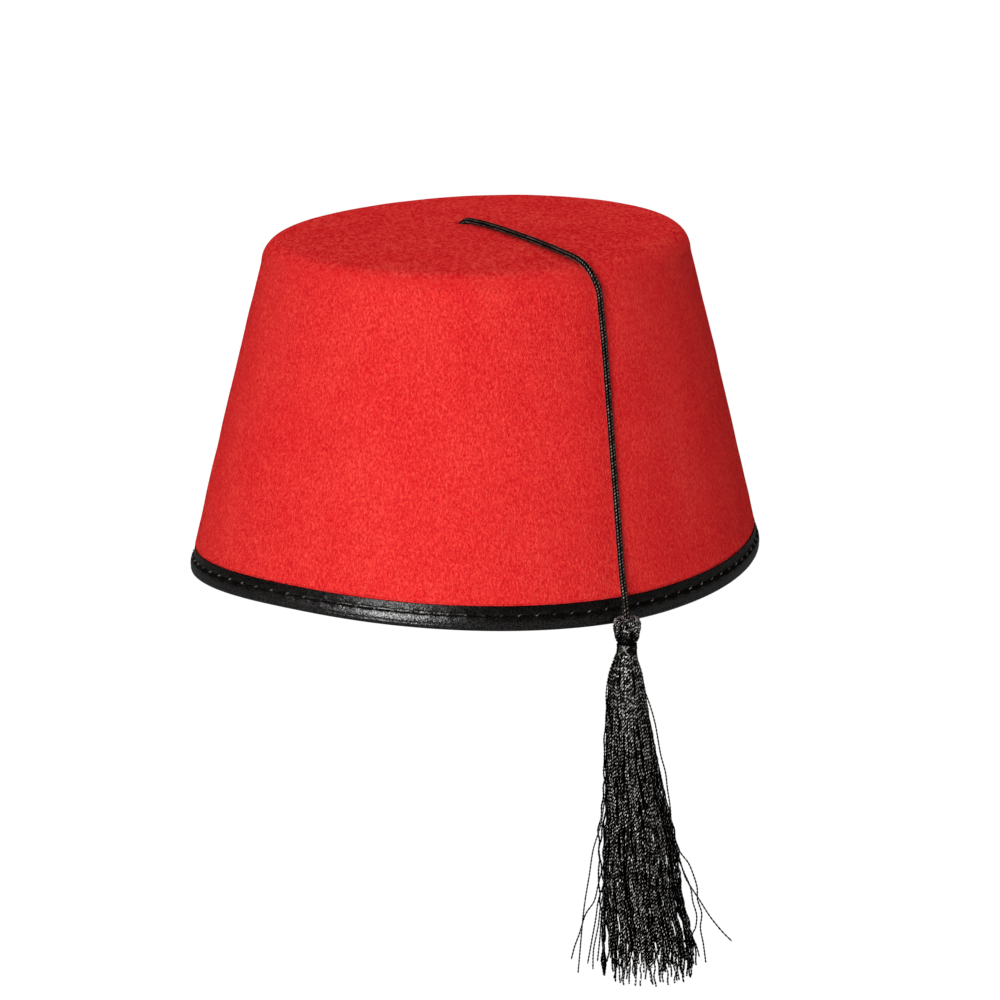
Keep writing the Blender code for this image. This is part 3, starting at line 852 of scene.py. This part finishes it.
def makeBinding():
    # The section swept round the rim, drawn in between the stitches.
    s = bindingSize
    bearing, along = rimArc()
    share = np.arange(s["columns"]) / s["columns"]
    distance = share * along[-1]
    at = np.interp(distance, along, bearing)[None]
    turns = (share - stitchDrift(share) / along[-1]) * s["stitches"] - s["firstStitch"] - 0.5
    depth, height = (part[:, None] for part in bindingSection().T)
    outerFace = depth < crownSize["leather"] * 0.6
    nearStitch = np.exp(-(((height - s["stitchHeight"]) / s["puckerReach"]) ** 2))
    pull = s["pucker"] * nearStitch * np.cos(turns * fullTurn)[None]
    short, long = s["waverLengths"]
    waver = s["waver"] * np.sin(distance / short + 2 * np.sin(distance / long))[None]
    points = crownPoint(at, height / sideHeight, depth + (pull + waver) * outerFace)
    gloss = np.where(outerFace & (height > s["stitchHeight"]), s["dullGloss"], 1.0)
    gloss = np.broadcast_to(gloss, points.shape[:2])
    rows, columns, _ = points.shape
    faces = gridFaces(rows + 1, columns) % (rows * columns)
    return buildMesh("rim_band", points[::-1], faces.tolist(), leather, gloss=gloss[::-1])


binding = makeBinding()
print("binding made")


def makeStitches():
    # Short slanted loops of thread that rise out of the groove and go back into it.
    s = bindingSize
    bearing, along = rimArc()
    share = (np.arange(s["stitches"]) + s["firstStitch"]) / s["stitches"]
    middle = share * along[-1] + stitchDrift(share)
    t = np.linspace(-0.5, 0.5, s["stitchRings"])
    distance = (middle[:, None] + t[None] * s["stitchLength"]) % along[-1]
    at = np.interp(distance, along, bearing)
    height = s["stitchHeight"] + t[None] * s["stitchRise"]
    rise = s["stitchProud"] * np.cos(t * math.pi)[None]
    radius = s["stitchWidth"] / 2 * (1 - 0.5 * np.abs(2 * t) ** 3)[None, :, None]
    sunk = s["groove"] * s["stitchSink"]
    faces = ((sunk, -1), (bandDepth - sunk, 1))
    path = [crownPoint(at, height / sideHeight, face + sign * rise) for face, sign in faces]
    radius = radius + np.zeros((2 * s["stitches"], 1, s["stitchSides"]))
    # Full lift along the whole thread: all of it takes the stitch material's painted highlight
    # colour.
    lift = np.full(radius.shape, 0.8)
    path = np.concatenate(path)
    return buildTubes("rim_stitches", path, upright, radius, stitchThread, lift=lift)


stitches = makeStitches()
print("stitches made")


tasselSize = {
    "turn": math.radians(38.5),
    "aside": -0.0004,
    "headWidth": 0.0094,
    "headHeight": 0.0083,
    "wrapWidth": 0.0069,
    "wrapHeight": 0.0039,
    "skirtLength": 0.1115,
    "skirtWidth": 0.034,
    "skirtDepth": 0.027,
    "skirtLean": 0.0075,
    "headForm": (  # along a yarn, reach, down
        (0.00, 0.30, 0.10), (0.08, 0.54, 0.00), (0.16, 0.78, 0.00), (0.26, 0.94, 0.08),
        (0.38, 1.00, 0.22), (0.52, 1.00, 0.42), (0.70, 0.94, 0.62), (0.86, 0.86, 0.79),
        (1.00, 0.76, 0.93),
    ),
    "skirtForm": (  # down, spread, lean
        (0.000, 0.200, 0.000), (0.025, 0.255, -0.030), (0.070, 0.345, -0.005),
        (0.129, 0.385, 0.045), (0.222, 0.445, 0.105), (0.316, 0.507, 0.190),
        (0.410, 0.560, 0.310), (0.490, 0.630, 0.470), (0.534, 0.700, 0.530),
        (0.596, 0.765, 0.600), (0.660, 0.778, 0.640), (0.720, 0.790, 0.680),
        (0.783, 0.812, 0.820), (0.846, 0.860, 0.970), (0.908, 0.905, 1.080),
        (1.000, 0.905, 1.130),
    ),
    "coreSides": 24,
    "coreDown": 0.62,  # how far down the skirt the core goes, against its length
    "seed": 11,
}
headYarns = {
    "count": 46,
    "rings": 64,
    "sides": 8,
    "width": 0.00078,
    "ply": 0.0024,
    "lobes": 0.30,
    "splay": 0.07,  # unevenness of their places round the head
    "sweep": (0.15, 0.5),  # turn round the head on the way down: middle, unevenness
    "layers": (-0.00034, 0.00010),  # how far under or over the rest one may lie
    "shade": 0.24,
    "shadeFrom": (0.25, 0.6),
}
yarnSize = {
    "width": 0.00074,
    "ply": 0.0024,  # length of one full turn of the two plies
    "lobes": 0.24,
    "sides": 8,
    "step": 0.0006,  # between rings: a quarter of a turn, from crest to gap
    "wander": 0.0018,
    "crimp": 0.00034,
    "outer": 114,
    "groups": 3,
    "inner": 58,
    "innerWidth": 0.0008,
    "innerSides": 5,
    "innerLobes": 0.1,
    "innerRings": 110,
    "innerWander": 0.0014,
    "innerCrimp": 0.0003,
    "goldenTurn": 0.618034,  # from one yarn to the next, so that they fill the skirt evenly
    "strayWidth": 0.85,
    "strayRings": 130,
}
tasselAcross = np.array([math.cos(tasselSize["turn"]), math.sin(tasselSize["turn"]), 0])
tasselPlace = tasselTop() + tasselSize["aside"] * tasselAcross
tasselAway = np.array([-math.sin(tasselSize["turn"]), math.cos(tasselSize["turn"]), 0])


def tasselPoints(x, y, z):
    # From the tassel's own axes, with x across the picture and y away from it, to the frame.
    parts = x[..., None] * tasselAcross + y[..., None] * tasselAway
    return tasselPlace + parts + z[..., None] * upright


def formAt(name, at, column):
    # A column of the head's or the skirt's table, read off at the given places.
    form = np.array(tasselSize[name])
    return np.interp(at, form[:, 0], form[:, column])


def skirtAt(down):
    # Half the skirt's width, and how far it leans aside.
    s = tasselSize
    spread = formAt("skirtForm", down, 1) * s["skirtWidth"] / 2
    return spread, formAt("skirtForm", down, 2) * s["skirtLean"]


flatness = tasselSize["skirtDepth"] / tasselSize["skirtWidth"]


def plyRadius(width, along, sides, ply, lobes, phase):
    # Two lobes that turn with the distance along: 1 + lobes * cos(2 * (angle - turn)).
    angle = ringAngles(sides)
    wave = np.cos(2 * (angle - fullTurn * along[..., None] / ply + phase[..., None, None]))
    return width / 2 * (1 - lobes + lobes * wave), 0.5 + 0.5 * wave


def makeHead():
    # Yarns that come up beside the cord, bend over and run down to the neck, one over another.
    s, y = tasselSize, headYarns
    rng = np.random.default_rng(s["seed"])
    count, tall = y["count"], s["headHeight"]
    t = np.linspace(0.0, 1.0, y["rings"])[None]
    angle = ringAngles(count)[:, None] + rng.normal(0, y["splay"], (count, 1))
    angle = angle + rng.normal(*y["sweep"], (count, 1)) * t
    angle = angle + smoothNoise(rng, count, 0.12, t, 0.45)
    reach = formAt("headForm", t, 1) * s["headWidth"] / 2 - y["width"] / 2
    reach = reach + rng.uniform(*y["layers"], (count, 1)) * np.sin(math.pi * t)
    reach = reach + smoothNoise(rng, count, 0.00010, t, 0.35)
    down = formAt("headForm", t, 2) + 0 * angle
    path = tasselPoints(reach * np.cos(angle), reach * np.sin(angle), -down * tall)
    along = t * tall * 1.5 + np.zeros((count, 1))
    phase = rng.uniform(0, fullTurn, count)
    radius, lift = plyRadius(y["width"], along, y["sides"], y["ply"], y["lobes"], phase)
    shade = smoothStep((t - rng.uniform(*y["shadeFrom"], (count, 1))) / 0.4)
    lift = lift * (1 - y["shade"] * shade)[..., None]
    beside = unit(path - (tasselPlace - upright * 0.6 * tall))
    return buildTubes("tassel_head", path, beside, radius, headYarn, lift=lift)


def makeCore():
    # Dark body behind the yarns: the head's and skirt's forms, drawn in.
    s = tasselSize
    _, reach, down = np.array(s["headForm"])[1:].T
    headReach = reach * s["headWidth"] / 2 - 0.0008
    headDown = (down + 0.06 * (1 - down)) * s["headHeight"]
    down = np.linspace(0.0, s["coreDown"], 14)
    spread, lean = skirtAt(down)
    reach = spread * (0.78 - 0.55 * smoothStep((down - 0.3) / 0.32))
    skirtDown = s["headHeight"] + s["wrapHeight"] + down * s["skirtLength"]
    pairs = (
        (headReach, reach), (headReach, reach * flatness), (0 * headReach, lean),
        (-headDown, -skirtDown),
    )
    across, deep, lean, height = (np.concatenate(pair)[::-1, None] for pair in pairs)
    angle = ringAngles(s["coreSides"])
    grid = tasselPoints(lean + across * np.cos(angle), deep * np.sin(angle), height + 0 * angle)
    faces = closedFaces(*grid.shape[:2])
    return buildMesh("tassel_core", grid, faces, headYarn, lift=np.zeros(grid.shape[:2]))


wrapSize = {
    "turns": 6,
    "width": 0.00066,
    "ply": 0.0011,
    "lobes": 0.12,
    "rings": 420,
    "crossings": ((-1.32, -1.30), (-2.08, 0.75), (-1.75, -0.75)),  # start and turn of each
    "thickness": (1.0, 0.9, 0.8, 0.7),  # of the coil, then of each crossing thread
    # Painted highlight: the crossing threads get more lift and a negative tone, which makes them
    # paler than the coil.
    "lift": (0.75, 1.3, 1.3, 1.3),
    "tone": (0.3, -6.0, -6.0, -4.0),
}


def makeWrap():
    # Shiny thread wound round the neck in a helix, and three threads laid across it, the crossing
    # ones with a stronger painted highlight.
    s, w = tasselSize, wrapSize
    rng = np.random.default_rng(s["seed"] + 1)
    width = w["width"]
    t = np.linspace(0, 1, w["rings"])
    angle = fullTurn * w["turns"] * t
    reach = s["wrapWidth"] / 2 - width / 2 + 0.00006 * np.sin(angle * 0.7)
    lines = [(angle, reach, width / 2 + t * (s["wrapHeight"] - width))]
    reach = s["wrapWidth"] / 2 + 0.00022 * np.sin(math.pi * t) - 0.0001
    for start, turn in w["crossings"]:
        lines.append((start + turn * t, reach, 0.0002 + t * (s["wrapHeight"] - 0.0003)))
    angle, reach, down = (np.array(part) for part in zip(*lines))
    path = tasselPoints(reach * np.cos(angle), reach * np.sin(angle), -s["headHeight"] - down)
    along = np.broadcast_to(t, angle.shape) * 0.03
    phase = rng.uniform(0, 6, len(path))
    radius, lift = plyRadius(width, along, 8, w["ply"], w["lobes"], phase)
    thickness, paintedBrightness, tone = (
        np.array(w[key])[:, None, None] for key in ("thickness", "lift", "tone")
    )
    beside = np.array([0.05, 0.02, 1.0])
    layers = {"lift": lift * paintedBrightness, "tone": tone + np.zeros(lift.shape)}
    return buildTubes("neck_wrap", path, beside, radius * thickness, neckThread, **layers)


def strandPaths(rng, angle, share, length, rings, wander, crimp):
    # Down the skirt's form: lean + spread * share * cos(angle) across, the same by sin away,
    # with slow wander that grows downwards and a fine crimp.
    s = tasselSize
    count = len(angle)
    angle, share, length = angle[:, None], share[:, None], length[:, None]
    down = np.linspace(0, 1, rings)[None] * length
    spread, lean = skirtAt(down)
    reach = (spread - 0.0003) * share
    grow = 0.25 + 0.75 * smoothStep(down / 0.5)
    x, y = lean + reach * np.cos(angle), reach * np.sin(angle) * flatness
    for size, period in ((wander, 0.9), (crimp, 0.07)):
        x = x + smoothNoise(rng, count, size, down, period) * grow
        y = y + smoothNoise(rng, count, size, down, period) * grow
    return x, y, -s["headHeight"] - s["wrapHeight"] + 0.0006 - down * s["skirtLength"]


def strandMesh(name, x, y, z, rng, width, sides, lobes):
    # Twisted yarns as tubes, with the layers that the twist is drawn from.
    path, ply = tasselPoints(x, y, z), yarnSize["ply"]
    along = np.abs(z - z[:, :1])
    phase = rng.uniform(0, fullTurn, len(x))
    radius, _ = plyRadius(width, along, sides, ply, lobes, phase)
    shape = radius.shape
    angle = np.broadcast_to(ringAngles(sides), shape)
    turns = np.broadcast_to((2 * along / ply - phase[:, None] / math.pi)[..., None], shape)
    # Painted shade: the sides of each yarn that face into the skirt get less of the painted
    # highlight.
    outwards = np.arctan2(y, x - x.mean(axis=0))[..., None]
    facing = np.clip(np.cos(angle + outwards), 0, 1)
    layers = {
        "turns": turns,
        "cosTwice": np.cos(2 * angle),
        "sinTwice": np.sin(2 * angle),
        "unshadedShare": facing**0.8,
        "tone": np.broadcast_to(rng.uniform(0, 1, (len(x), 1, 1)), shape),
    }
    return buildTubes(name, path, tasselAcross, radius, tasselYarn, **layers)


def makeSkirt():
    # Outer yarns in a few meshes, and shorter ones behind them in one.
    s, y = tasselSize, yarnSize
    rng = np.random.default_rng(s["seed"] + 2)
    rings = math.ceil(s["skirtLength"] / y["step"])
    outer, inner = np.arange(y["outer"]), np.arange(y["inner"])
    angles = outer * fullTurn * y["goldenTurn"]
    shares = 1.0 - 0.22 * rng.uniform(0, 1, y["outer"]) ** 1.3
    lengths = 1.0 - 0.11 * rng.uniform(0, 1, y["outer"]) ** 2.2
    form = (y["width"], y["sides"], y["lobes"])
    pieces = []
    for group in range(y["groups"]):
        take = outer % y["groups"] == group
        given = (angles[take], shares[take], lengths[take], rings, y["wander"], y["crimp"])
        lines = strandPaths(rng, *given)
        pieces.append(strandMesh("tassel_yarns_%d" % (group + 1), *lines, rng, *form))
    angles = inner * fullTurn * y["goldenTurn"]
    shares = 0.74 * np.sqrt((inner + 0.5) / y["inner"])
    lengths = 0.98 - 0.08 * rng.uniform(0, 1, y["inner"])
    given = (angles, shares, lengths, y["innerRings"], y["innerWander"], y["innerCrimp"])
    lines = strandPaths(rng, *given)
    form = (y["innerWidth"], y["innerSides"], y["innerLobes"])
    pieces.append(strandMesh("tassel_yarns_inner", *lines, rng, *form))
    return pieces


strayYarns = (  # away, then (across, down), in millimetres from the bottom of the neck
    (-5, ((-7.2, 48), (-8.5, 57), (-10.9, 65.4), (-12.2, 74.4), (-13.6, 83.4), (-14.3, 89.7),
        (-15.3, 102.2), (-15.8, 108.1))),
    (-3, ((-7.2, 70), (-9.2, 78.3), (-10.5, 83.9), (-13.3, 88.4), (-15.3, 95), (-17, 99.9),
        (-18, 104))),
    (-4, ((-6.8, 76), (-9.2, 83.7), (-9.9, 89.2), (-11.2, 96.9), (-12.6, 105.2))),
    (-6, ((-6.1, 75.6), (-8.2, 83.2), (-9.2, 91.6), (-10.7, 99.9), (-10.9, 106.5))),
    (-2, ((-6.1, 80), (-7.8, 86.9), (-8.5, 96.6), (-9.3, 105))),
    (-6, ((-3.4, -1.9), (-5.5, 3.3), (-6.5, 8.2), (-6.9, 12.3), (-6.7, 16.5), (-5.8, 21.4))),
    (-4, ((3.7, 5.1), (6.1, 12.1), (7.8, 17), (9.3, 22.5), (10.3, 28.1), (11.3, 33.6),
        (12.8, 39.2), (13.5, 44.8), (14.5, 51.7), (14.9, 59.3))),
    (-2, ((3.7, 10.5), (5.7, 16), (7.4, 21.6), (8.8, 28.5), (9.8, 34.1), (11.2, 40.3),
        (12.5, 46.6), (13.9, 52.9), (14.5, 61.2))),
    (-3, ((15.2, 62.4), (17.3, 67.9), (19.6, 75.6), (21.3, 78.7), (24, 82.9), (28.1, 89.5),
        (32.2, 94.7), (35.2, 97.8))),
    (-5, ((15.9, 63.3), (18.3, 67.1), (20.6, 70.2), (22.3, 74.4), (23.5, 78.6), (23.7, 82.8),
        (25.1, 87.6), (24.7, 92.5), (25.7, 98), (26.6, 104.6))),
    (-6, ((15.2, 63.8), (17.3, 68.6), (19.3, 73.5), (21.3, 78.4), (22.1, 83.2), (23.4, 88.1),
        (23, 92.3), (22, 94.7), (23.4, 98.5), (24.4, 102.3))),
)


def makeStrays():
    # A smooth line through each yarn's points, with the same number of rings on all.
    s, y = tasselSize, yarnSize
    rng = np.random.default_rng(s["seed"] + 3)
    lines = []
    for away, given in strayYarns:
        line = smoothLine(np.array([(x, away, down) for x, down in given]) / 1000, 0.0002)
        pick = np.linspace(0, len(line) - 1, y["strayRings"])
        lines.append([np.interp(pick, np.arange(len(line)), line[:, i]) for i in range(3)])
    x, away, down = (np.array(part) for part in zip(*lines))
    z = -s["headHeight"] - s["wrapHeight"] - down
    form = (y["width"] * y["strayWidth"], y["sides"], y["lobes"])
    return strandMesh("tassel_strays", x, away, z, rng, *form)


head = makeHead()
core = makeCore()
wrap = makeWrap()
skirt = makeSkirt()
strays = makeStrays()
print("tassel made")


knotSize = {
    "width": 0.0076,
    "height": 0.0048,
    "thickness": 0.92,  # of the cord in it, against the rest
    "spread": 1.05,
    "points": 240,
    "pointGap": 0.00014,
    "sides": 16,
}


def makeKnot():
    # Overhand knot: (sin t + 2 sin 2t, cos t - 2 cos 2t, -sin 3t) drawn to the knot's size.
    s, c = knotSize, cordSize
    start = cordExit(2)[0]
    ceiling = crownPoint(c["bearing"], c["holeWay"], crownSize["felt"])[2]
    t = np.linspace(0, fullTurn, s["points"], endpoint=False)
    thick = c["diameter"] * s["thickness"]
    wide = (s["width"] - thick) / 2 / 3.0 * s["spread"]
    x = wide * (np.sin(t) + 2 * np.sin(2 * t))
    y = wide * (np.cos(t) - 2 * np.cos(2 * t))
    z = (s["height"] - thick) / 2 * -np.sin(3 * t)
    centre = np.array([start[0], start[1], ceiling - crownSize["seatGap"] - s["height"] / 2])
    path = centre + np.stack([x, y, z], -1)
    closed = np.concatenate([path[-3:], path, path[:3]])
    along = np.arange(len(closed))[:, None] * s["pointGap"]
    lift = knitRelief(along, ringAngles(s["sides"])[None])
    radius = thick / 2 * (1 - c["relief"] * (1 - lift))[None]
    beside = np.array([0.02, 0.01, 1.0])
    return buildTubes("cord_knot_tied", closed[None], beside, radius, cordYarn, lift=lift)


knot = makeKnot()
print("knot made")


for piece, node, slot in (
    (crown, "crown", "red_felt"),
    (binding, "rim_binding", "black_leatherette"),
    (stitches, "rim_binding", "black_leatherette"),
    (cord, "cord", "black_cord"),
    (knot, "cord_knot", "black_cord"),
    (head, "tassel", "black_yarn"),
    (core, "tassel", "black_yarn"),
    (wrap, "tassel_wrap", "black_thread"),
    (strays, "tassel", "black_yarn"),
    *((piece, "tassel", "black_yarn") for piece in skirt),
):
    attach(piece, "root")
    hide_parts(node)

cordMouth = besideCrown(cordSize["holeWay"], cordSize["holeDrift"], 0.0)


stageSize = {
    "floorDepth": -0.42,
    "floorReach": 30.0,
    "floorLight": 0.10,
    "floorWhite": 1.02,
    "lamps": (  # azimuth and elevation in degrees, width, height, power, what it leaves out
        (29, 5, 0.9, 0.9, 40.5, "visible_glossy"),
        (8, 9, 0.7, 2.6, 41.0, "visible_diffuse"),
    ),
    "lampDistance": 1.9,
    "lampAim": 0.05,
    "backAzimuth": math.radians(41),  # the room is bright on the side away from here
    "backRise": 0.15,
    "back": 1.35,
    "soft": 6.0,
}


def forCamera(tree, others, camera):
    rays = addNode(tree, "LightPath").outputs["Is Camera Ray"]
    return addNode(tree, "Mix", {0: rays, 2: others, 3: camera}).outputs[0]


def floorMaterial():
    # White to the camera and dim to all else; see-through from below.
    material, tree, shader = newMaterial("paleFloor")
    light = forCamera(tree, stageSize["floorLight"], stageSize["floorWhite"])
    lit = addNode(tree, "Emission", {0: colour(1, 1, 1), 1: light}).outputs[0]
    clear = addNode(tree, "BsdfTransparent").outputs[0]
    under = addNode(tree, "NewGeometry").outputs["Backfacing"]
    both = addNode(tree, "MixShader", {0: under, 1: lit, 2: clear})
    tree.links.new(both.outputs[0], tree.nodes["Material Output"].inputs["Surface"])
    return material


def makeStage():
    # The room's light is back * (0.5 - soft * (direction . front)), kept between 0 and back. It
    # has no gloss of its own: the second lamp gives that.
    s = stageSize
    r, z = s["floorReach"], s["floorDepth"]
    corners = np.array([(-r, -r, z), (r, -r, z), (r, r, z), (-r, r, z)])
    buildMesh("floor", corners, [(0, 1, 2, 3)], floorMaterial())
    world = bpy.data.worlds.new("studio")
    bpy.context.scene.world = world
    world.use_nodes = True
    world.cycles_visibility.glossy = False
    tree = world.node_tree
    background = tree.nodes["Background"]
    background.inputs[0].default_value = colour(1, 1, 1)
    front = seenFrom(s["backAzimuth"], 0) + upright * s["backRise"]
    way = addNode(tree, "TexCoord").outputs["Generated"]
    facing = addNode(tree, "VectorMath", {0: way, 1: front}, operation="DOT_PRODUCT")
    behind = mathNode(tree, "MULTIPLY_ADD", facing.outputs["Value"], -s["soft"], 0.5, clamp=True)
    room = mathNode(tree, "MULTIPLY", behind, s["back"])
    tree.links.new(forCamera(tree, room, 1.0), background.inputs[1])
    for number, (azimuth, elevation, *lamp) in enumerate(s["lamps"]):
        addLamp("lamp_%d" % (number + 1), math.radians(azimuth), math.radians(elevation), *lamp)
    bpy.context.scene.view_settings.view_transform = "Standard"


def addLamp(name, azimuth, elevation, width, height, power, without):
    # An oblong lamp, not seen itself, that lights without gloss or only in gloss.
    away = seenFrom(azimuth, elevation)
    data = bpy.data.lights.new(name, "AREA")
    data.shape = "RECTANGLE"
    data.size, data.size_y, data.energy = width, height, power
    lamp = addObject(name, data)
    aimBack(lamp, upright * stageSize["lampAim"] + away * stageSize["lampDistance"], away)
    lamp.visible_camera = False
    setattr(lamp, without, False)


makeStage()
print("stage made")
